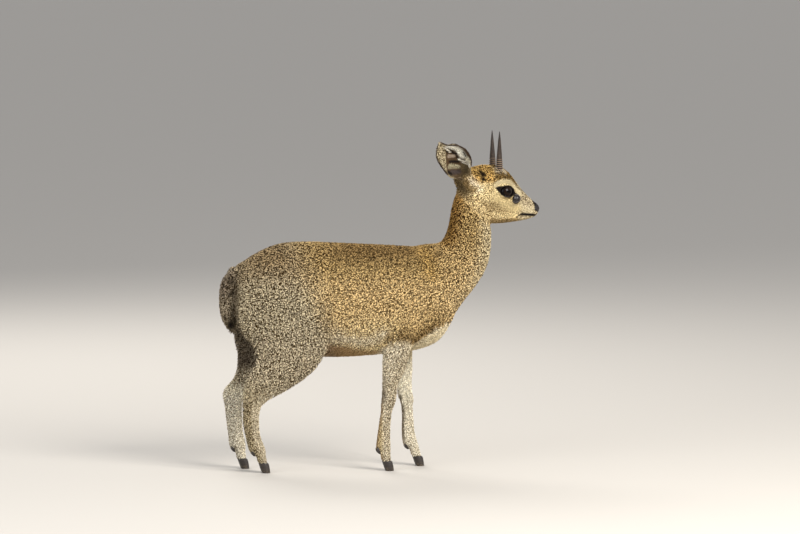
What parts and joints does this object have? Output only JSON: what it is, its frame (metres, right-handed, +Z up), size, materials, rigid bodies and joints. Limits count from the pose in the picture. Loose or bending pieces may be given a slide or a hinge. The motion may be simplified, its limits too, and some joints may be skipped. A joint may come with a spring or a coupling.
{
  "type": "klipspringer",
  "caption": "Life-size klipspringer buck standing on its hoof tips, head turned slightly left, with short straight horns and wide ears",
  "frame": {"origin": "on the floor, below the middle of the box round the whole animal", "axes": "+X the way the body faces, +Y to the animal's left, +Z up"},
  "size_m": [0.7494, 0.1944, 0.779],
  "materials": {
    "coat_grizzled": "short, dense, brittle hair, grizzled gold and dark brown",
    "coat_grey": "short, dense hair, grizzled grey and dark brown",
    "ear_skin": "thin hide with pale hair inside",
    "horn_keratin": "satin horn",
    "eye_dark": "wet and glossy",
    "gland_black": "bare black skin, moist",
    "nose_leather": "bare black skin, moist",
    "hoof_keratin": "satin horn"
  },
  "bodies": {
    "root": {"dewclaw_fore_left_inner": "hoof_keratin", "dewclaw_fore_left_outer": "hoof_keratin", "dewclaw_fore_right_inner": "hoof_keratin", "dewclaw_fore_right_outer": "hoof_keratin", "dewclaw_hind_left_inner": "hoof_keratin", "dewclaw_hind_left_outer": "hoof_keratin", "dewclaw_hind_right_inner": "hoof_keratin", "dewclaw_hind_right_outer": "hoof_keratin", "ear_left": "ear_skin", "ear_right": "ear_skin", "eye_left": "eye_dark", "eye_right": "eye_dark", "fore_leg_left": "coat_grey", "fore_leg_right": "coat_grey", "fore_shank_left": "coat_grey", "fore_shank_right": "coat_grey", "gland_left": "gland_black", "gland_right": "gland_black", "head": "coat_grizzled", "hind_leg_left": "coat_grey", "hind_leg_right": "coat_grey", "hind_shank_left": "coat_grey", "hind_shank_right": "coat_grey", "hoof_fore_left_inner": "hoof_keratin", "hoof_fore_left_outer": "hoof_keratin", "hoof_fore_right_inner": "hoof_keratin", "hoof_fore_right_outer": "hoof_keratin", "hoof_hind_left_inner": "hoof_keratin", "hoof_hind_left_outer": "hoof_keratin", "hoof_hind_right_inner": "hoof_keratin", "hoof_hind_right_outer": "hoof_keratin", "horn_left": "horn_keratin", "horn_right": "horn_keratin", "neck": "coat_grizzled", "nose": "nose_leather", "tail": "coat_grizzled", "torso": "coat_grizzled"}
  },
  "joints": []
}
